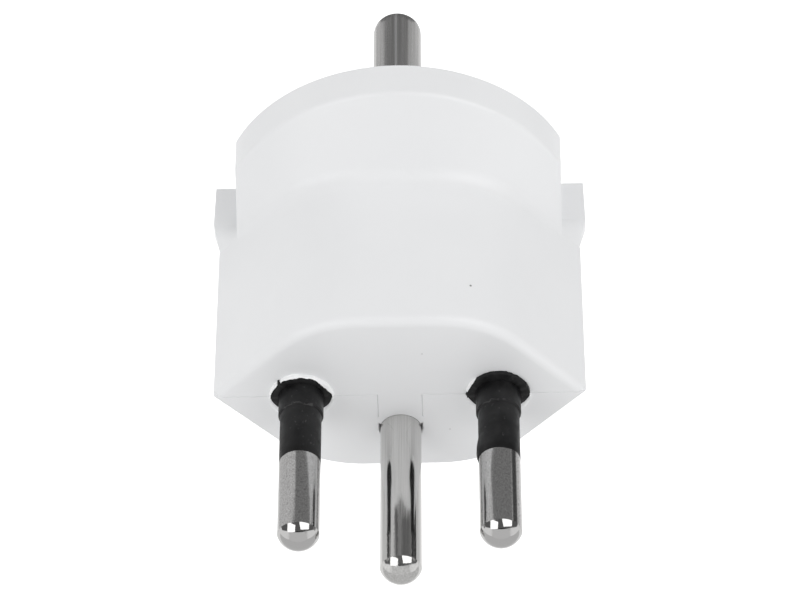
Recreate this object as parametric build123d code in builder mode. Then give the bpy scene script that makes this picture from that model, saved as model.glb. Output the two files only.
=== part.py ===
from build123d import *
import os
from math import radians, tan

# Plug adapter: a three-pin type J plug that carries a flat socket for a type E or CEE 7/7 plug.
# Sizes are in millimetres. X runs across the two live pins, Y along the pins from their tips
# to the socket, and Z up. The origin is the middle of the pin face, on the seam of the shells.

# Plug pins
live_pitch = 19.0
pin_diameter = 4.0
live_pin_length = 18.7
earth_pin_length = 18.9
pin_tip_height = 1.4
earth_drop = 5.0
pin_neck_diameter = 3.0
pin_flange_diameter = 7.4
pin_flange_thickness = 1.6
rivet_diameter = 2.4
rivet_head_diameter = 3.8
rivet_head_height = 0.5
rivet_recess_room = 0.2

# Insulating sleeves of the live pins
sleeve_length = 8.3
sleeve_root_diameter = 4.35
sleeve_root_length = 2.6
sleeve_collar_diameter = 6.05
sleeve_collar_height = 0.3
sleeve_flange_thickness = 1.6

# Socket contacts, and the spring bands that close their fingers
contact_bore = 4.9
contact_wall = 0.7
contact_base = 0.8
contact_lead_in = 0.4
contact_mouth_gap = 0.3
finger_length = 12.0
finger_slot = 0.6
spring_width = 2.4
spring_thickness = 0.4
spring_groove = 0.2
spring_from_mouth = 1.4
spring_gap = 1.2

# Earth pin of the socket, and the strap that joins it to the earth pin of the plug
socket_earth_diameter = 4.8
socket_earth_length = 14.0
socket_earth_rise = 10.0
socket_earth_tip_radius = 1.8
seat_groove_width = 0.6
seat_groove_depth = 0.2
earth_flange_diameter = 6.0
earth_flange_thickness = 1.2
strap_width = 6.0
strap_thickness = 0.8
strap_bend = 1.4
strap_corner = 2.0

# Housing outside
body_width = 36.0
body_depth = 20.9
body_length = 27.3
side_angle = 48.0
front_edge_radius = 11.0
pin_face_radius = 0.9
lower_face_radius = 0.2
prism_length = 19.0
waist_radius = 2.0
rim_height = 4.0
rim_diameter = 35.7
rim_flat_depth = 1.7
rim_edge_radius = 0.6
socket_face_chamfer = 0.2
fin_width = 37.2
fin_taper = 0.1
fin_thickness = 1.8
fin_rise = 3.1

# Housing inside
wall = 1.8
side_wall = 2.5
pin_wall = 3.0
socket_wall = 2.3
socket_hole_diameter = 5.6
strap_room = 0.3
partition = 1.2
rib_thickness = 1.2
rib_count = 3
rib_to_spring = 1.4
peg_diameter = 1.4
peg_height = 1.0
peg_inset = 1.2
peg_from_pin_face = 5.0
peg_spacing = 9.0
seam_chamfer = 0.1
saddle_depth = 0.6
fit_clearance = 0.05

# Places worked out from the sizes above
live_sides = {"line": -live_pitch / 2, "neutral": live_pitch / 2}
pin_radius = pin_diameter / 2
socket_earth_radius = socket_earth_diameter / 2
rivet_radius = rivet_diameter / 2
half_depth = body_depth / 2
half_flats = rim_diameter / 2 - rim_flat_depth
fin_half = fin_thickness / 2
slope = tan(radians(side_angle))
ridge = body_width / 2
front_corner = ridge - half_depth / slope
rim_start = body_length - rim_height
fin_knee = prism_length + fin_rise
fin_root = half_flats - wall
fin_foot_tip = ridge - fin_taper
room_end = body_length - socket_wall
room_half_width = half_flats - side_wall
pin_flange_start = pin_wall + sleeve_flange_thickness
contact_start = pin_flange_start + pin_flange_thickness
contact_floor = contact_start + contact_base
contact_bore_start = contact_floor + rivet_head_height
contact_mouth = room_end - contact_mouth_gap
contact_radius = contact_bore / 2 + contact_wall
spring_end = contact_mouth - spring_from_mouth
spring_start = spring_end - spring_width
spring_seat = contact_radius - spring_groove
first_rib = contact_start + fit_clearance
rib_pitch = (spring_start - rib_to_spring - rib_thickness - first_rib) / (rib_count - 1)
foot_start = pin_wall + earth_flange_thickness
foot_end = foot_start + strap_thickness
socket_earth_end = body_length + socket_earth_length
leg_end = room_end - earth_flange_thickness
leg_start = leg_end - strap_thickness
strap_half = strap_width / 2
channel_half = strap_half + strap_room
chamber_radius = max(pin_flange_diameter / 2, spring_seat + spring_thickness) + 2 * fit_clearance
partition_middle = channel_half + partition / 2
peg_side = room_half_width + peg_inset
rivet_room = rivet_head_diameter / 2 + strap_room
slot_half = pin_radius + 2 * fit_clearance
pin_top = pin_radius - earth_drop
tongue_reach = earth_drop - pin_radius + saddle_depth


def across(height):
    """Plane across the pins at a height above the pin face. It faces the socket, sketch y down."""
    return Plane(origin=(0, height, 0), x_dir=(1, 0, 0), z_dir=(0, 1, 0))


def beside(x, z):
    """Plane of a turned profile: sketch x is the radius and sketch y runs along the pin."""
    return Plane(origin=(x, 0, z))


def pin_axis(x, z):
    """Axis of a pin, towards the socket."""
    return Axis((x, 0, z), (0, 1, 0))


def turned(x, z, outline):
    """Solid of revolution about a pin axis, from (radius, height) points."""
    with BuildPart() as blank:
        with BuildSketch(beside(x, z)):
            with BuildLine():
                Polyline(*outline, close=True)
            make_face()
        revolve(axis=pin_axis(x, z))
    return blank.part


def tipped_shaft(x, z, length, shoulder):
    """Pin shaft that ends in a domed tip, from its tip up to a shoulder height."""
    with BuildPart() as shaft:
        with BuildSketch(beside(x, z)):
            with BuildLine():
                edge = Line((pin_radius, shoulder), (pin_radius, pin_tip_height - length))
                crown = (0, -length)
                dome = (pin_radius**2 + pin_tip_height**2) / (2 * pin_tip_height)
                RadiusArc(edge @ 1, crown, dome)
                Polyline(crown, (0, shoulder), edge @ 0)
            make_face()
        revolve(axis=pin_axis(x, z))
    return shaft.part


def rivet_end(start, seat):
    """Outline of a rivet stub from a start height, with its head beyond the seat height."""
    head_radius = rivet_head_diameter / 2
    head_end = seat + rivet_head_height if seat > start else seat - rivet_head_height
    return (
        (0, start),
        (rivet_radius, start),
        (rivet_radius, seat),
        (head_radius, seat),
        (head_radius, head_end),
        (0, head_end),
    )


def slant(x):
    """Half depth of the body section at a distance x from its middle, near a side ridge."""
    return (ridge - x) * slope


def body_section(height):
    """Six-sided body section with a large round at the front corners and sharp side ridges."""
    with BuildSketch(across(height)) as section:
        with BuildLine():
            FilletPolyline(
                (ridge, 0),
                (front_corner, half_depth),
                (-front_corner, half_depth),
                (-ridge, 0),
                (-front_corner, -half_depth),
                (front_corner, -half_depth),
                radius=(0, front_edge_radius, front_edge_radius) * 2,
                close=True,
            )
        make_face()
    return section.sketch


def upper_fin_section(side, height, root_depth, tip, tip_depth):
    """Section of the upper half of a side fin, from its root in the body to its tip."""
    with BuildSketch(across(height)) as section:
        with BuildLine():
            Polyline(
                (side * fin_root, 0),
                (side * tip, 0),
                (side * tip, -tip_depth),
                (side * fin_root, -root_depth),
                close=True,
            )
        make_face()
    return section.sketch


def level_edges(part, height, above):
    """Edges at one height above the pin face, higher than a distance from the seam."""
    level = part.edges().filter_by_position(Axis.Y, height - fit_clearance, height + fit_clearance)
    return level.filter_by(lambda edge: edge.center().Z > above)


# The body without its ridges: a six-sided prism that flares to the round rim of the socket end
with BuildPart() as flared_body:
    with BuildSketch(across(0)):
        add(body_section(0))
    extrude(amount=prism_length)
    with BuildSketch(across(rim_start)) as rim_disc:
        Circle(rim_diameter / 2)
    extrude(amount=rim_height)
    loft([body_section(prism_length), rim_disc.sketch], ruled=True)


def upper_form(edge_radius):
    """Outside of the upper half: flats on the rim, side ridges and fins, and a round pin-face edge."""
    with BuildPart() as form:
        with BuildSketch(across(0)):
            Rectangle(2 * half_flats, body_width / 2, align=(Align.CENTER, Align.MAX))
        extrude(amount=body_length)
        add(flared_body.part, mode=Mode.INTERSECT)
        fillet(level_edges(form, prism_length, fit_clearance), radius=waist_radius)
        fillet(level_edges(form, rim_start, fit_clearance), radius=rim_edge_radius)
        with BuildSketch(across(0)):
            add(body_section(0))
            Rectangle(body_width, body_depth, align=(Align.CENTER, Align.MAX), mode=Mode.INTERSECT)
        extrude(amount=prism_length)
        fillet(level_edges(form, 0, fit_clearance), radius=edge_radius)
        for side in (-1, 1):
            foot = upper_fin_section(side, prism_length, slant(fin_root), fin_foot_tip, slant(fin_foot_tip))
            knee = upper_fin_section(side, fin_knee, fin_half, fin_width / 2, fin_half)
            top = upper_fin_section(side, body_length, fin_half, fin_width / 2 - fin_taper, fin_half)
            loft([foot, knee, top], ruled=True)
        chamfer(level_edges(form, body_length, fit_clearance), length=socket_face_chamfer)
    return form.part


# The room inside: two contact chambers and the strap's channel, with cradle ribs left standing
with BuildPart() as room:
    with BuildSketch(across(pin_wall)):
        add(body_section(0))
        offset(amount=-wall, kind=Kind.INTERSECTION)
        Rectangle(2 * room_half_width, body_depth, mode=Mode.INTERSECT)
        with Locations(*((x, 0) for x in live_sides.values())):
            Circle(chamber_radius)
        with Locations((partition_middle, 0), (-partition_middle, 0)):
            Rectangle(partition, body_depth, mode=Mode.SUBTRACT)
    extrude(amount=room_end - pin_wall)
    for station in range(rib_count):
        with BuildSketch(across(first_rib + station * rib_pitch)):
            Rectangle(body_width, body_depth)
            Rectangle(2 * channel_half, body_depth, mode=Mode.SUBTRACT)
            with Locations(*((x, 0) for x in live_sides.values())):
                Circle(contact_radius + 2 * fit_clearance, mode=Mode.SUBTRACT)
        extrude(amount=rib_thickness, mode=Mode.SUBTRACT)
    # Ledges behind the strap's foot, clear of the rivet head
    with BuildSketch(across(foot_end + fit_clearance)):
        with Locations((0, -pin_top)):
            Rectangle(2 * channel_half, body_depth, align=(Align.CENTER, Align.MIN))
            Rectangle(2 * rivet_room, body_depth, align=(Align.CENTER, Align.MIN), mode=Mode.SUBTRACT)
    extrude(amount=rib_thickness, mode=Mode.SUBTRACT)
    # Pocket for the strap's leg and for the flange and rivet of the socket earth pin
    with BuildSketch(across(leg_start - fit_clearance)):
        with Locations((0, strap_half + strap_room - socket_earth_rise)):
            Rectangle(2 * channel_half, strap_width + 2 * strap_room, align=(Align.CENTER, Align.MAX))
        Rectangle(2 * channel_half, socket_earth_rise, align=(Align.CENTER, Align.MAX))
    extrude(amount=room_end - leg_start + fit_clearance)
    with BuildSketch(across(leg_start - rivet_head_height - strap_room)):
        with Locations((0, -socket_earth_rise)):
            Circle(rivet_room)
    extrude(amount=rivet_head_height + strap_room)

# The holes through the walls, for the sleeves, the mating plug and the socket earth pin
with BuildPart() as wall_holes:
    with BuildSketch(across(0)):
        with Locations(*((x, 0) for x in live_sides.values())):
            Circle(sleeve_collar_diameter / 2 + fit_clearance)
    extrude(amount=pin_wall)
    with BuildSketch(across(room_end)):
        with Locations(*((x, 0) for x in live_sides.values())):
            Circle(socket_hole_diameter / 2)
        with Locations((0, -socket_earth_rise)):
            Circle(socket_earth_radius + fit_clearance)
    extrude(amount=socket_wall)

peg_places = [
    (side * peg_side, peg_from_pin_face + step * peg_spacing) for side in (-1, 1) for step in (0, 1)
]

# The upper shell has the tongue that closes the earth pin's slot, and the locating pegs
with BuildPart() as upper_shell:
    add(upper_form(pin_face_radius))
    add(room.part, mode=Mode.SUBTRACT)
    add(wall_holes.part, mode=Mode.SUBTRACT)
    with BuildSketch(across(0)):
        Rectangle(2 * slot_half, tongue_reach, align=(Align.CENTER, Align.MIN))
        with Locations((0, earth_drop)):
            Circle(slot_half, mode=Mode.SUBTRACT)
    extrude(amount=pin_wall)
    with BuildSketch(Plane.XY):
        with Locations(*peg_places):
            Circle(peg_diameter / 2)
    extrude(amount=-peg_height)

# The lower shell has the slot that the earth pin drops into, and the holes for the pegs
with BuildPart() as lower_shell:
    mirror(upper_form(lower_face_radius), about=Plane.XY)
    add(room.part, mode=Mode.SUBTRACT)
    add(wall_holes.part, mode=Mode.SUBTRACT)
    with BuildSketch(across(0)):
        Rectangle(2 * slot_half, earth_drop, align=(Align.CENTER, Align.MIN))
        with Locations((0, earth_drop)):
            Circle(slot_half)
    extrude(amount=pin_wall, mode=Mode.SUBTRACT)
    with BuildSketch(Plane.XY):
        with Locations(*peg_places):
            Circle(peg_diameter / 2 + fit_clearance)
    extrude(amount=-peg_height - fit_clearance, mode=Mode.SUBTRACT)
    # Fine chamfers along the seam and round the slot
    with BuildSketch(Plane.YZ):
        with BuildLine():
            Polyline((0, 0), (seam_chamfer, 0), (0, -seam_chamfer), close=True)
        make_face()
    extrude(amount=ridge, both=True, mode=Mode.SUBTRACT)
    with BuildSketch(across(0)):
        with Locations((0, earth_drop)):
            Circle(slot_half + seam_chamfer)
            Rectangle(
                2 * (slot_half + seam_chamfer), earth_drop + slot_half, align=(Align.CENTER, Align.MAX)
            )
    extrude(amount=seam_chamfer, taper=45, mode=Mode.SUBTRACT)


def live_pin(x):
    """Plug pin with a thin neck for its sleeve, a flange, and a rivet for its contact."""
    neck = pin_neck_diameter / 2
    flange = pin_flange_diameter / 2
    body = (
        (0, -sleeve_length),
        (neck, -sleeve_length),
        (neck, pin_flange_start),
        (flange, pin_flange_start),
        (flange, contact_start),
        (0, contact_start),
    )
    with BuildPart() as pin:
        add(tipped_shaft(x, 0, live_pin_length, -sleeve_length))
        add(turned(x, 0, body))
        add(turned(x, 0, rivet_end(contact_start, contact_floor)))
    return pin.part


def live_sleeve(x):
    """Sleeve moulded on a live pin, with a wider root, a collar, and a flange inside the wall."""
    bore = pin_neck_diameter / 2
    root = sleeve_root_diameter / 2
    collar = sleeve_collar_diameter / 2
    flange = pin_flange_diameter / 2
    outline = (
        (bore, -sleeve_length),
        (pin_radius, -sleeve_length),
        (pin_radius, pin_radius - root - sleeve_root_length),
        (root, -sleeve_root_length),
        (root, -sleeve_collar_height),
        (collar, -sleeve_collar_height),
        (collar, pin_wall),
        (flange, pin_wall),
        (flange, pin_flange_start),
        (bore, pin_flange_start),
    )
    return turned(x, 0, outline)


def live_contact(x):
    """Turned socket contact with four fingers, a recess for the rivet and a seat for its spring."""
    bore = contact_bore / 2
    recess = rivet_head_diameter / 2 + rivet_recess_room
    outline = (
        (rivet_radius, contact_start),
        (contact_radius, contact_start),
        (contact_radius, spring_start),
        (spring_seat, spring_start),
        (spring_seat, spring_end),
        (contact_radius, spring_end),
        (contact_radius, contact_mouth),
        (bore + contact_lead_in, contact_mouth),
        (bore, contact_mouth - contact_lead_in),
        (bore, contact_bore_start),
        (recess, contact_bore_start),
        (recess, contact_floor),
        (rivet_radius, contact_floor),
    )
    with BuildPart() as contact:
        add(turned(x, 0, outline))
        with BuildSketch(across(contact_mouth - finger_length)):
            with Locations((x, 0)):
                Rectangle(3 * contact_radius, finger_slot)
                Rectangle(finger_slot, 3 * contact_radius)
        extrude(amount=finger_length, mode=Mode.SUBTRACT)
    return contact.part


def contact_spring(x):
    """Open steel band that lies in the contact's groove and presses its fingers together."""
    with BuildPart() as band:
        with BuildSketch(across(spring_start)):
            with Locations((x, 0)):
                Circle(spring_seat + spring_thickness)
                Circle(spring_seat, mode=Mode.SUBTRACT)
                Rectangle(
                    spring_gap, 2 * contact_radius, align=(Align.CENTER, Align.MIN), mode=Mode.SUBTRACT
                )
        extrude(amount=spring_width)
    return band.part


# The bare earth pin of the plug, with a turned groove in the pin wall and a flange behind it
with BuildPart() as earth_pin:
    earth_root = (
        (0, 0),
        (pin_radius - seat_groove_depth, 0),
        (pin_radius - seat_groove_depth, seat_groove_width),
        (pin_radius, seat_groove_width),
        (pin_radius, pin_wall),
        (earth_flange_diameter / 2, pin_wall),
        (earth_flange_diameter / 2, foot_start),
        (0, foot_start),
    )
    add(tipped_shaft(0, -earth_drop, earth_pin_length, 0))
    add(turned(0, -earth_drop, earth_root))
    add(turned(0, -earth_drop, rivet_end(foot_start, foot_end)))

# The earth pin that stands out of the socket face, with its groove and flange at the socket wall
with BuildPart() as socket_earth_pin:
    with BuildSketch(beside(0, socket_earth_rise)) as shaft:
        with BuildLine():
            Polyline(
                (0, leg_end),
                (earth_flange_diameter / 2, leg_end),
                (earth_flange_diameter / 2, room_end),
                (socket_earth_radius, room_end),
                (socket_earth_radius, body_length - seat_groove_width),
                (socket_earth_radius - seat_groove_depth, body_length - seat_groove_width),
                (socket_earth_radius - seat_groove_depth, body_length),
                (socket_earth_radius, body_length),
                (socket_earth_radius, socket_earth_end),
                (0, socket_earth_end),
                close=True,
            )
        make_face()
        fillet(shaft.vertices().group_by(Axis.Y)[-1].sort_by(Axis.X)[-1], radius=socket_earth_tip_radius)
    revolve(axis=pin_axis(0, socket_earth_rise))
    add(turned(0, socket_earth_rise, rivet_end(leg_end, leg_start)))

# The earth strap: a foot on the plug's earth pin, a web along the seam, a leg on the socket's pin
with BuildPart() as earth_strap:
    foot_middle = foot_start + strap_thickness / 2
    leg_middle = leg_start + strap_thickness / 2
    with BuildSketch(Plane.YZ):
        with BuildLine():
            FilletPolyline(
                (foot_middle, -earth_drop - strap_half),
                (foot_middle, 0),
                (leg_middle, 0),
                (leg_middle, socket_earth_rise + strap_half),
                radius=strap_bend,
            )
        trace(line_width=strap_thickness)
    extrude(amount=strap_half, both=True)
    end_corners = earth_strap.edges().filter_by(Axis.Y).group_by(SortBy.LENGTH)[0]
    fillet(end_corners, radius=strap_corner)
    for height, place in ((foot_start, earth_drop), (leg_start, -socket_earth_rise)):
        with BuildSketch(across(height)):
            with Locations((0, place)):
                Circle(rivet_radius)
        extrude(amount=strap_thickness, mode=Mode.SUBTRACT)

pieces = {
    "upper_shell": upper_shell.part,
    "lower_shell": lower_shell.part,
    "earth_pin": earth_pin.part,
    "socket_earth_pin": socket_earth_pin.part,
    "earth_strap": earth_strap.part,
}
for pole, x in live_sides.items():
    pieces[f"{pole}_pin"] = live_pin(x)
    pieces[f"{pole}_pin_sleeve"] = live_sleeve(x)
    pieces[f"{pole}_contact"] = live_contact(x)
    pieces[f"{pole}_contact_spring"] = contact_spring(x)

os.makedirs("parts", exist_ok=True)
for name, piece in pieces.items():
    piece.label = name
    export_step(piece, f"parts/{name}.step")
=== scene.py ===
"""Plug adapter: finishes, moulding flash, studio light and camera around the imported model.

Lengths are in metres. X runs across the live pins, Y along the pins towards the socket, Z up.
"""
import math

import bpy
from mathutils import Matrix, Vector, noise


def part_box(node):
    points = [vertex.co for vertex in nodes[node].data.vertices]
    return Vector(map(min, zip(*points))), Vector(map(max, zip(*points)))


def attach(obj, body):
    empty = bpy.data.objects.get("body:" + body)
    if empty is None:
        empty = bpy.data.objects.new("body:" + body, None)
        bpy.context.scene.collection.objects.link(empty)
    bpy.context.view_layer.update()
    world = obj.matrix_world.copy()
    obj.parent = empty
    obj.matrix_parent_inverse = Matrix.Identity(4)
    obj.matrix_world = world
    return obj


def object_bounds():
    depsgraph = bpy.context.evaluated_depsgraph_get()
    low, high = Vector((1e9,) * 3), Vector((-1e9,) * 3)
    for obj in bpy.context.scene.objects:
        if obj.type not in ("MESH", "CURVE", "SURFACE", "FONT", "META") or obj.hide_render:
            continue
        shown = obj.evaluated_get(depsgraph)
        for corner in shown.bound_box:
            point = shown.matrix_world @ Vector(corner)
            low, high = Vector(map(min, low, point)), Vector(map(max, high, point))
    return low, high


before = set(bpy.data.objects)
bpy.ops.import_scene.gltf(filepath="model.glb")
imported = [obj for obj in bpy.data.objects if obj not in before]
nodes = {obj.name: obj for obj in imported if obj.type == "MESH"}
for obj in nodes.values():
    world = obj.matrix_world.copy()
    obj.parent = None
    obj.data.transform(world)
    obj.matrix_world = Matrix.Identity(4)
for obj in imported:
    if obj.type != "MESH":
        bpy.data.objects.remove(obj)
cad_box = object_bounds()

MM = 0.001

# Places read from the frame
line_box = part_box("line_pin_sleeve")
neutral_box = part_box("neutral_pin_sleeve")
earth_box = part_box("earth_pin")
collar_centres = {
    "line": (line_box[0].x + line_box[1].x) / 2,
    "neutral": (neutral_box[0].x + neutral_box[1].x) / 2,
}
earth_axis = (earth_box[0].z + earth_box[1].z) / 2
sleeve_tip = line_box[0].y
pin_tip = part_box("line_pin")[0].y
floor_drop = 60 * MM
floor_height = cad_box[0].z - floor_drop

# Sizes of the sleeves and of the skirts at their ends.
# Added pieces are sunk a little into what they sit on.
collar_height = 0.3 * MM
root_radius = 2.175 * MM
sleeve_radius = 2.0 * MM
crease_place = -2.65 * MM
skirt_lap = 0.1 * MM
skirt_proud = 0.006 * MM
sunk = 0.02 * MM

# Height of the socket's earth pin, and length of the live pins' polished tips
socket_axis = 10.0 * MM
dome_length = 1.4 * MM

# Added pieces are smooth up to this angle between two faces
sharp_angle = math.radians(50)

# Camera, fitted to the photograph's 800 by 600 frame
camera_eye = Vector((6.95, -254.6, 291.9)) * MM
camera_target = Vector((0.03, 12.33, 0.0)) * MM
camera_lens = 180.6
camera_sensor = 36.0

# Sockets of a Mix node that blends colours
mix_factor, mix_first, mix_second, mix_result = 0, 6, 7, 2


def put(tree, socket, value):
    """Link another node's output to a socket, or set a plain value."""
    if isinstance(value, bpy.types.NodeSocket):
        tree.links.new(value, socket)
    else:
        socket.default_value = value


def node(tree, kind, settings=None, **inputs):
    """Add a shader node with its own settings, and values or other nodes' outputs for its inputs."""
    made = tree.nodes.new(kind)
    for name, value in (settings or {}).items():
        setattr(made, name, value)
    for name, value in inputs.items():
        put(tree, made.inputs[name.replace("_", " ")], value)
    return made


def math_node(tree, operation, first, second):
    """Add a two-value Math node and return its output."""
    made = node(tree, "ShaderNodeMath", {"operation": operation})
    put(tree, made.inputs[0], first)
    put(tree, made.inputs[1], second)
    return made.outputs[0]


def vector_node(tree, operation, first, second):
    """Add a Vector Math node that turns two vectors into one value, and return its output."""
    made = node(tree, "ShaderNodeVectorMath", {"operation": operation})
    put(tree, made.inputs[0], first)
    put(tree, made.inputs[1], second)
    return made.outputs["Value"]


def remap(tree, value, low, high, to_low, to_high):
    """Map a value from one range to another, clamped, with soft ends."""
    made = node(
        tree, "ShaderNodeMapRange", {"interpolation_type": "SMOOTHSTEP"},
        Value=value, From_Min=low, From_Max=high, To_Min=to_low, To_Max=to_high,
    )
    return made.outputs["Result"]


def spread(tree, value, to_low=0.0, to_high=1.0):
    """Map the stretch where most of a noise lies to a range."""
    return remap(tree, value, 0.3, 0.7, to_low, to_high)


def mix_colour(tree, factor, first, second):
    """Blend two colours, given as values or outputs."""
    made = node(tree, "ShaderNodeMix", {"data_type": "RGBA"})
    put(tree, made.inputs[mix_factor], factor)
    for index, value in ((mix_first, first), (mix_second, second)):
        put(tree, made.inputs[index], (*value, 1.0) if isinstance(value, tuple) else value)
    return made.outputs[mix_result]


def place(tree):
    """Position on the object, in metres."""
    return node(tree, "ShaderNodeTexCoord").outputs["Object"]


def axes_of(tree):
    """The position's three coordinates, as the outputs X, Y and Z."""
    return node(tree, "ShaderNodeSeparateXYZ", Vector=place(tree)).outputs


def grain(tree, size, detail=2.0, stretch=(1.0, 1.0, 1.0)):
    """Noise whose spots have a size in metres, longer by a factor along each axis."""
    scale = tuple(1.0 / (size * factor) for factor in stretch)
    spot = node(tree, "ShaderNodeMapping", Vector=place(tree), Scale=scale).outputs["Vector"]
    return node(tree, "ShaderNodeTexNoise", Vector=spot, Scale=1.0, Detail=detail).outputs[0]


def new_material(name, metallic, specular=0.5):
    """A material with a Principled shader, its tree and the shader."""
    material = bpy.data.materials.new(name)
    material.use_nodes = True
    tree = material.node_tree
    shader = tree.nodes["Principled BSDF"]
    shader.inputs["Metallic"].default_value = metallic
    shader.inputs["Specular IOR Level"].default_value = specular
    return material, tree, shader


def feed(tree, shader, colour, roughness, height, strength, depth):
    """Link colour, roughness and bump to a shader."""
    tree.links.new(colour, shader.inputs["Base Color"])
    tree.links.new(roughness, shader.inputs["Roughness"])
    bump = node(tree, "ShaderNodeBump", Height=height, Strength=strength, Distance=depth)
    tree.links.new(bump.outputs["Normal"], shader.inputs["Normal"])


# Small dark specks in the white plastic: place, radius and how dark
specks = (
    (Vector((7.01, 4.96, 9.93)) * MM, 0.14 * MM, 0.85),
    (Vector((2.27, 0.0, 5.8)) * MM, 0.12 * MM, 0.25),
    (Vector((4.78, 0.0, -5.26)) * MM, 0.12 * MM, 0.25),
)


def white_plastic():
    """Satin white moulded plastic with faint flow tones, fine texture and a few specks."""
    material, tree, shader = new_material("white_plastic_finish", 0.0)
    tone = spread(tree, grain(tree, 14 * MM, 3.0))
    colour = mix_colour(tree, tone, (0.845, 0.852, 0.862), (0.862, 0.868, 0.877))
    for spot, radius, dark in specks:
        away = vector_node(tree, "DISTANCE", place(tree), spot)
        mark = remap(tree, away, 0.5 * radius, radius, dark, 0.0)
        colour = mix_colour(tree, mark, colour, (0.05, 0.05, 0.055))
    roughness = spread(tree, grain(tree, 2.5 * MM, 3.0), 0.34, 0.42)
    feed(tree, shader, colour, roughness, grain(tree, 0.35 * MM, 3.0), 0.08, 0.02 * MM)
    return material


def torn_plastic_with_highlight():
    """White plastic of the torn lips, whiter on the upper side of the pins: torn plastic that has
    whitened, with a painted highlight.
    """
    material, tree, shader = new_material("torn_highlight_plastic_finish", 0.0)
    tone = spread(tree, grain(tree, 0.5 * MM, 3.0))
    # Torn whitening and painted highlight: a whiter colour blended in on the upper side of the pins
    torn = mix_colour(tree, tone, (0.93, 0.935, 0.94), (0.98, 0.98, 0.98))
    upper = remap(tree, axes_of(tree)["Z"], -0.9 * MM, 0.4 * MM, 0.0, 1.0)
    colour = mix_colour(tree, upper, (0.855, 0.86, 0.87), torn)
    roughness = spread(tree, grain(tree, 0.4 * MM, 3.0), 0.4, 0.5)
    feed(tree, shader, colour, roughness, grain(tree, 0.2 * MM, 3.0), 0.15, 0.02 * MM)
    return material


def black_plastic():
    """Moulded black plastic, a little uneven, with pale spots that are scuffs and painted glints, a pale
    crease and a darker end.
    """
    material, tree, shader = new_material("black_plastic_finish", 0.0, 0.22)
    along = axes_of(tree)["Y"]
    tone = remap(tree, grain(tree, 1.6 * MM, 4.0), 0.35, 0.7, 0.0, 1.0)
    colour = mix_colour(tree, tone, (0.007, 0.007, 0.0075), (0.016, 0.016, 0.0165))
    # Pale spots: scuffs and painted glints
    scuff_and_glint = remap(tree, grain(tree, 0.3 * MM, 3.0, (1.0, 1.6, 1.0)), 0.64, 0.76, 0.0, 0.5)
    colour = mix_colour(tree, scuff_and_glint, colour, (0.07, 0.07, 0.07))
    ragged = spread(tree, grain(tree, 0.5 * MM, 3.0), -0.14 * MM, 0.14 * MM)
    from_crease = math_node(tree, "SUBTRACT", math_node(tree, "ADD", along, ragged), crease_place)
    off = math_node(tree, "ABSOLUTE", from_crease, 0.0)
    crease = remap(tree, off, 0.02 * MM, 0.08 * MM, 0.5, 0.0)
    patchy = remap(tree, grain(tree, 1.1 * MM, 2.0), 0.42, 0.6, 0.0, 1.0)
    colour = mix_colour(tree, math_node(tree, "MULTIPLY", crease, patchy), colour, (0.09, 0.09, 0.09))
    ending = remap(tree, along, sleeve_tip + 0.9 * MM, sleeve_tip + 0.2 * MM, 0.0, 0.7)
    colour = mix_colour(tree, ending, colour, (0.002, 0.002, 0.002))
    roughness = spread(tree, grain(tree, 0.8 * MM, 4.0), 0.36, 0.55)
    feed(tree, shader, colour, roughness, grain(tree, 0.3 * MM, 4.0), 0.35, 0.03 * MM)
    return material


def satin_nickel():
    """Satin nickel with a fine grain, polished on the domed tip."""
    material, tree, shader = new_material("satin_nickel_finish", 1.0)
    spots = grain(tree, 0.1 * MM, 3.0, (1.0, 2.0, 1.0))
    dome_edge = pin_tip + dome_length
    satin = remap(tree, axes_of(tree)["Y"], dome_edge - 0.1 * MM, dome_edge, 0.0, 1.0)
    blotches = math_node(tree, "MULTIPLY", satin, remap(tree, spots, 0.3, 0.75, 0.0, 1.0))
    plating = mix_colour(tree, blotches, (0.58, 0.575, 0.57), (0.44, 0.435, 0.43))
    pits = remap(tree, grain(tree, 0.16 * MM, 2.0, (1.0, 1.4, 1.0)), 0.56, 0.7, 0.0, 0.5)
    plating = mix_colour(tree, pits, plating, (0.22, 0.22, 0.22))
    glints = remap(tree, grain(tree, 0.13 * MM, 1.0, (1.4, 1.0, 1.4)), 0.66, 0.76, 0.0, 0.6)
    plating = mix_colour(tree, glints, plating, (0.8, 0.8, 0.8))
    colour = mix_colour(tree, satin, (0.56, 0.555, 0.55), plating)
    roughness = remap(tree, satin, 0.0, 1.0, 0.07, 0.15)
    height = math_node(tree, "MULTIPLY", remap(tree, satin, 0.0, 1.0, 0.25, 1.0), spots)
    feed(tree, shader, colour, roughness, height, 0.22, 0.01 * MM)
    return material


# Painted dark reflection streaks on the earth pin's upper side: across and half width in mm, where they
# begin and end, and how dark they are. They fade in and out over these lengths, in mm.
pin_reflection_streaks = (
    (-1.18, 0.1, -13.4, -17.6, 1.0),
    (1.18, 0.15, -13.2, -17.6, 1.0),
    (1.42, 0.03, -11.6, -17.2, 1.0),
    (-0.43, 0.18, -10.8, -17.6, 0.5),
    (0.5, 0.4, -12.2, -17.6, 0.45),
)
streak_fade_in = 1.2
streak_fade_out = 0.3


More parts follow.
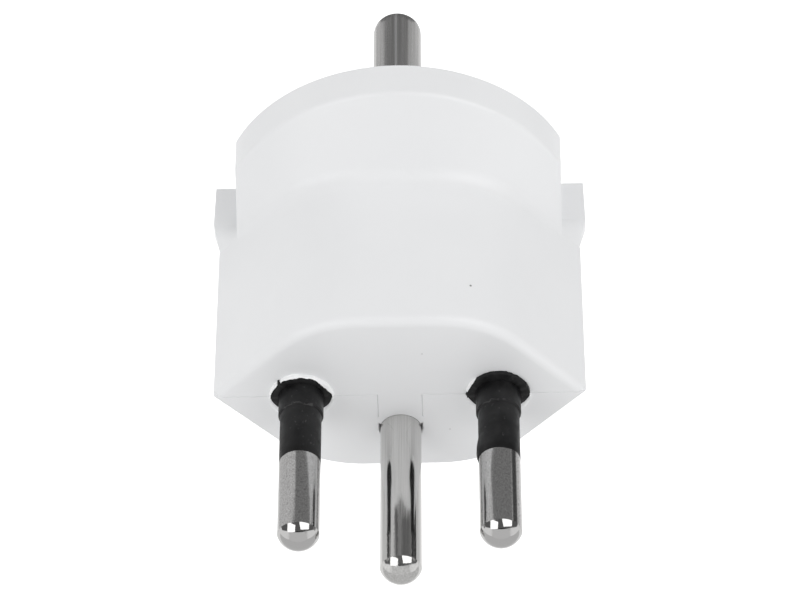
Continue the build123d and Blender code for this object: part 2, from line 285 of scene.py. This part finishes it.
def painted_reflection_streaks(tree):
    """How far painted dark reflection streaks darken the earth pin's colour."""
    axes = axes_of(tree)
    rough = spread(tree, grain(tree, 0.09 * MM, 3.0, (1.0, 2.0, 1.0)), -0.06 * MM, 0.06 * MM)
    across = math_node(tree, "ADD", axes["X"], rough)
    above = remap(tree, axes["Z"], earth_axis, earth_axis + 0.1 * MM, 0.0, 1.0)
    total = 0.0
    for middle, half, begin, end, darkness in pin_reflection_streaks:
        off = math_node(tree, "ABSOLUTE", math_node(tree, "SUBTRACT", across, middle * MM), 0.0)
        stripe = remap(tree, off, 0.6 * half * MM, 1.2 * half * MM, darkness, 0.0)
        entry = remap(tree, axes["Y"], begin * MM, (begin - streak_fade_in) * MM, 0.0, 1.0)
        leave = remap(tree, axes["Y"], end * MM, (end + streak_fade_out) * MM, 0.0, 1.0)
        mark = math_node(tree, "MULTIPLY", stripe, math_node(tree, "MULTIPLY", entry, leave))
        total = math_node(tree, "MAXIMUM", total, mark)
    return math_node(tree, "MULTIPLY", total, above)


def bright_nickel():
    """Polished nickel with faint lengthwise lines and a few painted dark reflection streaks."""
    material, tree, shader = new_material("bright_nickel_finish", 1.0)
    lines = grain(tree, 0.12 * MM, 3.0, (1.0, 60.0, 1.0))
    colour = mix_colour(tree, spread(tree, lines), (0.56, 0.555, 0.545), (0.66, 0.655, 0.645))
    # Painted reflections: dark streaks darken the base colour on the pin's upper side
    colour = mix_colour(tree, painted_reflection_streaks(tree), colour, (0.1, 0.1, 0.1))
    roughness = remap(tree, lines, 0.3, 0.75, 0.09, 0.17)
    feed(tree, shader, colour, roughness, lines, 0.05, 0.01 * MM)
    return material


def drawn_nickel():
    """Drawn nickel with clear lengthwise lines, and a painted highlight line along the upper side."""
    material, tree, shader = new_material("drawn_nickel_finish", 1.0)
    lines = grain(tree, 0.2 * MM, 3.0, (1.0, 80.0, 1.0))
    colour = mix_colour(tree, spread(tree, lines), (0.46, 0.455, 0.45), (0.6, 0.595, 0.59))
    axes = axes_of(tree)
    # Painted highlight: a light line along the top of the socket's earth pin
    off = math_node(tree, "ABSOLUTE", math_node(tree, "ADD", axes["X"], 0.08 * MM), 0.0)
    above = remap(tree, axes["Z"], socket_axis, socket_axis + 0.5 * MM, 0.0, 1.0)
    light = math_node(tree, "MULTIPLY", remap(tree, off, 0.06 * MM, 0.17 * MM, 0.8, 0.0), above)
    colour = mix_colour(tree, light, colour, (0.88, 0.88, 0.88))
    roughness = remap(tree, lines, 0.3, 0.75, 0.2, 0.3)
    feed(tree, shader, colour, roughness, lines, 0.08, 0.01 * MM)
    return material


def turned_metal(name, dark, light):
    """Machined metal with rings round the pins' direction."""
    material, tree, shader = new_material(name, 1.0)
    rings = grain(tree, 0.1 * MM, 3.0, (60.0, 1.0, 60.0))
    colour = mix_colour(tree, spread(tree, rings), dark, light)
    roughness = spread(tree, grain(tree, 1.5 * MM, 3.0), 0.24, 0.36)
    feed(tree, shader, colour, roughness, rings, 0.1, 0.01 * MM)
    return material


white = white_plastic()
torn_white_with_highlight = torn_plastic_with_highlight()
black = black_plastic()
satin = satin_nickel()
brass = turned_metal("brass_finish", (0.66, 0.48, 0.22), (0.8, 0.62, 0.32))
spring = turned_metal("spring_steel_finish", (0.36, 0.36, 0.37), (0.48, 0.48, 0.49))
finishes = {
    "upper_shell": white,
    "lower_shell": white,
    "line_pin": satin,
    "neutral_pin": satin,
    "line_pin_sleeve": black,
    "neutral_pin_sleeve": black,
    "earth_pin": bright_nickel(),
    "socket_earth_pin": drawn_nickel(),
    "line_contact": brass,
    "neutral_contact": brass,
    "earth_strap": brass,
    "line_contact_spring": spring,
    "neutral_contact_spring": spring,
}
for name, material in finishes.items():
    mesh = nodes[name].data
    mesh.materials.clear()
    mesh.materials.append(material)
    mesh.shade_smooth()


def add_piece(name, points, faces, material):
    """Make a mesh piece that rides on the adapter, smooth but for its sharp edges."""
    mesh = bpy.data.meshes.new(name)
    mesh.from_pydata(points, [], faces)
    mesh.validate()
    mesh.shade_smooth()
    mesh.set_sharp_from_angle(angle=sharp_angle)
    mesh.materials.append(material)
    piece = bpy.data.objects.new(name, mesh)
    bpy.context.scene.collection.objects.link(piece)
    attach(piece, "root")


def bent_tube(centre_x, centre_z, sections, closed):
    """Points and faces of a lip round a pin: each section is an angle and its (radius, height) points."""
    points = []
    for angle, profile in sections:
        for radius, height in profile:
            points.append(
                (centre_x + radius * math.cos(angle), -height, centre_z + radius * math.sin(angle))
            )
    size = len(sections[0][1])
    count = len(sections)
    faces = []
    for i in range(count if closed else count - 1):
        here, there = i * size, (i + 1) % count * size
        for j in range(size):
            after = (j + 1) % size
            faces.append((here + j, here + after, there + after, there + j))
    if not closed:
        faces.append(tuple(reversed(range(size))))
        faces.append(tuple(range((count - 1) * size, count * size)))
    return points, faces


def ring_angles(steps):
    """Angles of a full turn in equal steps."""
    return [2 * math.pi * step / steps for step in range(steps)]


def ring_value(outline, angle):
    """Value at an angle, in a straight line between the (degrees, value) points of a full turn."""
    turn = math.degrees(angle) % 360
    wrapped = [*outline, (outline[0][0] + 360, outline[0][1])]
    if turn < outline[0][0]:
        turn += 360
    for (start, low), (end, high) in zip(wrapped, wrapped[1:]):
        if start <= turn <= end:
            share = (turn - start) / (end - start)
            return low + (high - low) * share
    return outline[0][1]


def ring_spot(pole, angle):
    """Where an angle round a live pin lies in the noise, apart from the other pin's places."""
    return Vector((math.cos(angle), math.sin(angle), collar_centres[pole] / MM))


def uneven(spot, *waves):
    """Sum of noise at a spot: each wave has a size and how closely its bumps lie."""
    return sum(size * noise.noise(spot * pace) for size, pace in waves)


# Outlines of the ragged flash round the collars: (degrees from +X towards +Z, radius in mm)
flash_steps = 240
flash_outlines = {
    "line": (
        (0, 2.86), (60, 2.86), (100, 2.86), (127, 2.9), (131, 3.2), (134, 3.22), (138, 2.9),
        (170, 2.9), (182, 2.9), (196, 2.72), (210, 2.53), (230, 2.47), (310, 2.47), (326, 2.52),
        (344, 2.77), (356, 2.85),
    ),
    "neutral": (
        (4, 3.02), (12, 3.1), (20, 3.02), (28, 3.12), (36, 3.03), (46, 3.1), (54, 3.16), (61, 3.14),
        (75, 3.26), (90, 3.22), (101, 3.23), (113, 3.18), (126, 3.1), (140, 3.02), (155, 2.94),
        (170, 3.0), (178, 3.14), (180, 3.14), (183, 2.88), (195, 2.7), (213, 2.48), (240, 2.4),
        (300, 2.4), (331, 2.56), (347, 2.8), (358, 2.98),
    ),
}


def collar_flash(pole):
    """Thin black flash pressed out round a sleeve's collar, with a ragged edge."""
    sections = []
    for angle in ring_angles(flash_steps):
        spot = ring_spot(pole, angle)
        edge = (ring_value(flash_outlines[pole], angle) + uneven(spot, (0.04, 9), (0.035, 23))) * MM
        top = collar_height * (1.1 + uneven(spot, (0.25, 5)))
        sections.append((angle, (
            (root_radius, 0.2 * collar_height),
            (root_radius, top),
            (edge - 0.25 * MM, top + 0.04 * MM),
            (edge - 0.06 * MM, top - 0.02 * MM),
            (edge, 0.5 * top),
            (edge - 0.02 * MM, 0.0),
        )))
    points, faces = bent_tube(collar_centres[pole], 0.0, sections, True)
    add_piece(f"{pole}_collar_flash", points, faces, black)


for pole in collar_centres:
    collar_flash(pole)

# White lips of the pin face round the collars: degrees, inner and outer radius and height in mm
lip_steps = 240
lip_outlines = {
    "line": (
        (2, 3.0, 3.2, 0.36), (10, 3.04, 3.24, 0.38), (26, 2.85, 3.18, 0.42), (42, 2.8, 3.14, 0.42),
        (60, 3.0, 3.14, 0.38), (67, 3.04, 3.16, 0.36), (77, 3.0, 3.1, 0.36), (90, 3.06, 3.12, 0.34),
        (98, 2.99, 3.26, 0.38), (112, 3.02, 3.2, 0.38), (126, 3.04, 3.16, 0.32), (129, 2.98, 3.12, 0.34),
        (131.5, 3.08, 3.1, 0.02), (135, 3.08, 3.1, 0.02), (138, 2.98, 3.14, 0.38), (143, 2.94, 3.13, 0.4),
        (160, 2.97, 3.13, 0.4), (172, 2.98, 3.13, 0.38), (182, 2.93, 3.12, 0.33), (196, 2.75, 3.16, 0.33),
        (210, 2.56, 3.16, 0.33), (230, 2.5, 3.16, 0.33), (310, 2.5, 3.16, 0.33), (326, 2.55, 3.16, 0.33),
        (344, 2.8, 3.16, 0.33), (356, 2.9, 3.16, 0.34),
    ),
    "neutral": (
        (4, 3.1, 3.12, 0.0), (90, 3.1, 3.12, 0.0), (132, 3.1, 3.12, 0.0), (140, 3.05, 3.13, 0.36),
        (155, 2.97, 3.13, 0.38), (168, 3.02, 3.13, 0.36), (175, 3.1, 3.12, 0.0), (181, 3.08, 3.12, 0.05),
        (186, 2.88, 3.14, 0.33), (195, 2.73, 3.16, 0.33), (213, 2.51, 3.16, 0.33), (240, 2.43, 3.16, 0.33),
        (300, 2.43, 3.16, 0.33), (331, 2.59, 3.16, 0.33), (347, 2.83, 3.16, 0.33), (355, 2.97, 3.14, 0.33),
        (361, 3.08, 3.12, 0.05),
    ),
}


def collar_lip(pole):
    """Torn white lip of the pin face that laps over a collar's edge."""
    rows = lip_outlines[pole]
    inners = [(turn, inner) for turn, inner, _, _ in rows]
    outers = [(turn, outer) for turn, _, outer, _ in rows]
    crests = [(turn, crest) for turn, _, _, crest in rows]
    sections = []
    for angle in ring_angles(lip_steps):
        spot = ring_spot(pole, angle)
        # On the upper half the lip is more ragged, and it rises towards its inner edge
        torn = 1.0 if math.sin(angle) > -0.1 else 0.3
        tilt = min(1.0, max(0.0, (math.sin(angle) + 0.1) / 0.3))
        crest = ring_value(crests, angle) * MM * (1 + torn * uneven(spot, (0.12, 15)))
        inner = (ring_value(inners, angle) + torn * uneven(spot, (0.04, 19))) * MM
        outer = (ring_value(outers, angle) + torn * uneven(spot, (0.03, 11))) * MM
        width = outer - inner
        sections.append((angle, (
            (outer, -sunk),
            (outer - 0.1 * width, (0.8 - 0.18 * tilt) * crest),
            (outer - (0.25 + 0.1 * tilt) * width, (1 - 0.12 * tilt) * crest),
            (inner + 0.15 * width, (1 + 0.1 * tilt) * crest),
            (inner, (0.97 + 0.1 * tilt) * crest),
            (inner, -sunk),
        )))
    points, faces = bent_tube(collar_centres[pole], 0.0, sections, True)
    add_piece(f"{pole}_collar_lip", points, faces, torn_white_with_highlight)


for pole in collar_centres:
    collar_lip(pole)

# Uneven ends of the sleeves: how far they run out over the metal, in mm
end_steps = 120
end_overlap = {"line": 0.28, "neutral": 0.25}


def sleeve_end(pole):
    """Thin uneven skirt at a sleeve's end, drawn out over the metal."""
    start = -sleeve_tip
    sections = []
    for angle in ring_angles(end_steps):
        run = (end_overlap[pole] + uneven(ring_spot(pole, angle), (0.05, 2), (0.03, 8))) * MM
        sections.append((angle, (
            (sleeve_radius - sunk, start - skirt_lap),
            (sleeve_radius + skirt_proud, start - skirt_lap),
            (sleeve_radius + skirt_proud, start + run),
            (sleeve_radius - sunk, start + run),
        )))
    points, faces = bent_tube(collar_centres[pole], 0.0, sections, True)
    add_piece(f"{pole}_sleeve_end", points, faces, black)


for pole in collar_centres:
    sleeve_end(pole)

# Loose flap at the free end of the neutral sleeve: degrees and how far it stands off, in mm
flap_outline = (
    (136, 0.0), (146, 0.05), (160, 0.12), (172, 0.19), (184, 0.2), (196, 0.14), (208, 0.04), (214, 0.0),
)


def sleeve_flap():
    """Flap of the neutral sleeve that has lifted beside its end."""
    tip = -sleeve_tip
    sections = []
    for turn, stand_off in flap_outline:
        lift = stand_off * MM
        sections.append((math.radians(turn), (
            (sleeve_radius - sunk, tip - 2.5 * MM),
            (sleeve_radius + 0.25 * lift, tip - 2.2 * MM),
            (sleeve_radius + 0.85 * lift, tip - 1.5 * MM),
            (sleeve_radius + lift, tip - 0.7 * MM),
            (sleeve_radius + 0.75 * lift, tip - 0.1 * MM),
            (sleeve_radius + 0.3 * lift, tip + 0.2 * MM),
            (sleeve_radius - sunk, tip + 0.26 * MM),
        )))
    points, faces = bent_tube(collar_centres["neutral"], 0.0, sections, False)
    add_piece("neutral_sleeve_flap", points, faces, black)


sleeve_flap()

# White flash that closes the gap between the tongue and the earth pin, over the pin's upper side.
# Its ends and corner are in degrees. It is round up to the cosine filler_round_side, widens from there to
# the corner, and is straight beyond it.
filler_steps = 60
filler_start, filler_end = 20.0, 160.0
filler_corner = 38.0
filler_round_side = 0.5
filler_inside = 2.02 * MM
filler_reach = 2.2 * MM
filler_proud = 0.004 * MM
filler_depth = 0.25 * MM


def slot_filler():
    """Thin lip of the tongue that lies on the earth pin, squared off at the slot's sides."""
    corner_side = math.cos(math.radians(filler_corner))
    sections = []
    for step in range(filler_steps + 1):
        angle = math.radians(filler_start + (filler_end - filler_start) * step / filler_steps)
        side = abs(math.cos(angle))
        if side > corner_side:
            reach = filler_reach / side
        else:
            share = max(0.0, (side - filler_round_side) / (corner_side - filler_round_side))
            reach = filler_reach * (1 + share * (1 / corner_side - 1))
        sections.append((angle, (
            (reach, filler_proud),
            (filler_inside, filler_proud),
            (filler_inside, -filler_depth),
        )))
    points, faces = bent_tube(0.0, earth_axis, sections, False)
    add_piece("slot_flash", points, faces, white)


slot_filler()

# Distance of the studio's lights, and of the bright cards that stand for them in the metal
box_distance = 0.5


def soft_box(name, direction, width, height, radiance):
    """Studio light that faces the object."""
    light = bpy.data.lights.new(name, "AREA")
    light.shape = "RECTANGLE"
    light.size = width
    light.size_y = height
    light.energy = radiance * math.pi * width * height
    lamp = bpy.data.objects.new(name, light)
    lamp.location = Vector(direction).normalized() * box_distance
    lamp.rotation_mode = "QUATERNION"
    lamp.rotation_quaternion = Vector(direction).to_track_quat("Z", "Y")
    lamp.visible_glossy = False
    bpy.context.scene.collection.objects.link(lamp)


# Two soft lights. The metal mirrors cards in place of them.
soft_box("left_soft_box", (-0.54, -0.67, 0.51), width=0.42, height=0.34, radiance=1.3)
soft_box("right_soft_box", (0.54, -0.34, 0.77), width=0.5, height=0.5, radiance=1.2)


# The grey surround of the studio: its general level, and where it is brighter or darker.
# A lobe has a direction, the cosines where it starts and is full, and a strength.
surround_level = 1.0
surround_lobes = (
    ((0.0, 0.67, 0.74), 0.7, 0.92, -0.42),
    ((0.0, 0.3, 0.95), 0.6, 0.95, 0.15),
    ((0.74, 0.67, 0.1), 0.7, 0.95, -0.3),
    ((0.0, -1.0, 0.1), 0.5, 1.0, -0.3),
    ((0.0, -0.6, 0.8), 0.5, 1.0, -0.84),
    ((0.0, -0.6, -0.8), 0.4, 1.0, 0.2),
)


def studio_world():
    """Soft grey surround, as bright in each direction as its lobes make it."""
    world = bpy.data.worlds.new("studio")
    world.use_nodes = True
    tree = world.node_tree
    ray = node(tree, "ShaderNodeTexCoord").outputs["Generated"]
    total = surround_level
    for direction, edge, core, strength in surround_lobes:
        facing = vector_node(tree, "DOT_PRODUCT", ray, Vector(direction).normalized())
        total = math_node(tree, "ADD", total, remap(tree, facing, edge, core, 0.0, strength))
    background = tree.nodes["Background"]
    background.inputs["Color"].default_value = (1.0, 1.0, 1.0, 1.0)
    tree.links.new(total, background.inputs["Strength"])
    bpy.context.scene.world = world


studio_world()

# Corners of a square, in half sides from its middle
square = ((-1, -1), (1, -1), (1, 1), (-1, 1))
floor_half_side = 3.0


def stage_panel(name, corners, grey, glow):
    """Flat panel of the studio with one plain tone."""
    mesh = bpy.data.meshes.new(name)
    mesh.from_pydata(corners, [], [(0, 1, 2, 3)])
    material, _, shader = new_material(f"{name}_finish", 0.0, 0.0)
    shader.inputs["Base Color"].default_value = (grey, grey, grey, 1.0)
    shader.inputs["Roughness"].default_value = 0.9
    shader.inputs["Emission Color"].default_value = (1.0, 1.0, 1.0, 1.0)
    shader.inputs["Emission Strength"].default_value = glow
    mesh.materials.append(material)
    panel = bpy.data.objects.new(name, mesh)
    panel.visible_diffuse = False
    bpy.context.scene.collection.objects.link(panel)
    return panel


def white_floor():
    """Plain white floor, well below the held adapter. It casts no light on it."""
    corners = [(x * floor_half_side, y * floor_half_side, floor_height) for x, y in square]
    stage_panel("floor", corners, 0.5, 1.0).visible_glossy = False


def mirror_card(name, corners, glow):
    """Flat card round the adapter that only shows as a mirror image."""
    card = stage_panel(name, corners, 0.0, glow)
    card.visible_camera = False
    card.visible_shadow = False


def metal_card(name, middle, along, up, glow):
    """Mirrored card given by its middle and half sides."""
    middle, along, up = Vector(middle), Vector(along), Vector(up)
    mirror_card(name, [middle + x * along + y * up for x, y in square], glow)


def facing_card(name, direction, width, height, glow):
    """Card that faces the adapter, upright as the camera sees its mirror image."""
    away = Vector(direction).normalized()
    level = (camera_eye - camera_target).cross(Vector((1.0, 0.0, 0.0))).normalized()
    across = level.cross(away).normalized()
    metal_card(name, away * box_distance, across * width / 2, away.cross(across) * height / 2, glow)


# Flat cards of the room and table that the metal mirrors: name, middle, two half sides and brightness
room_cards = (
    ("pale_card", (-0.0465, 0.022, 0.0075), (0.0235, 0.0, 0.0), (0.0, 0.0, 0.0375), 0.7),
    ("dark_card", (0.06, 0.045, 0.0065), (0.0, 0.03, 0.0), (0.0, 0.0, 0.0145), 0.08),
    ("ceiling_card", (0.05, 0.328, 0.243), (0.39, 0.0, 0.0), (0.0, 0.163, -0.148), 0.25),
    ("wall_card", (-0.3, 0.3, -0.02), (0.0, 0.2, 0.0), (0.0, 0.0, 0.18), 0.62),
    ("roof_card", (0.0, -0.27, 0.56), (0.6, 0.0, 0.0), (0.0, 0.45, 0.0), 0.14),
    ("front_card", (0.0, -0.8, 0.15), (0.7, 0.0, 0.0), (0.0, 0.0, 0.4), 0.74),
    ("table_card", (0.0, -0.4, -0.25), (0.7, 0.0, 0.0), (0.0, 0.4, 0.0), 0.68),
)

# Cards that aren't rectangles: the (y, z) corners at either side, and the (x, z) corners behind
side_distance = 0.6
side_corners = ((-0.05, 0.0), (0.15, 0.0), (0.15, 0.56), (-0.72, 0.56))
back_distance = 0.1
back_corners = ((-0.006, -0.056), (0.006, -0.056), (0.06, 0.035), (-0.06, 0.035))


def metal_cards():
    """The dark room, bright boxes and pale table that the metal mirrors."""
    for card in room_cards:
        metal_card(*card)
    for side in (-side_distance, side_distance):
        mirror_card("side_card", [(side, y, z) for y, z in side_corners], 0.14)
    mirror_card("back_card", [(x, back_distance, z) for x, z in back_corners], 0.2)
    metal_card("socket_card", (0.0397, 0.073, 0.03), (0.0, 0.02, 0.0), (-0.0041, 0.0, 0.0078), 0.55)
    facing_card("left_box_card", (-0.56, -0.46, 0.66), width=0.36, height=0.33, glow=2.0)
    facing_card("right_box_card", (0.51, -0.2, 0.82), width=0.43, height=0.46, glow=2.0)


white_floor()
metal_cards()


def camera():
    """Long-lens camera at the photograph's viewing angle."""
    data = bpy.data.cameras.new("camera")
    data.sensor_width = camera_sensor
    data.lens = camera_lens
    data.clip_start = 0.01
    data.clip_end = 20.0
    made = bpy.data.objects.new("camera", data)
    forward = (camera_target - camera_eye).normalized()
    right = forward.cross(Vector((0.0, 1.0, 0.0))).normalized()
    turn = Matrix((right, right.cross(forward), -forward)).transposed()
    made.matrix_world = Matrix.Translation(camera_eye) @ turn.to_4x4()
    bpy.context.scene.collection.objects.link(made)
    bpy.context.scene.camera = made


camera()
bpy.context.scene.view_settings.view_transform = "Standard"
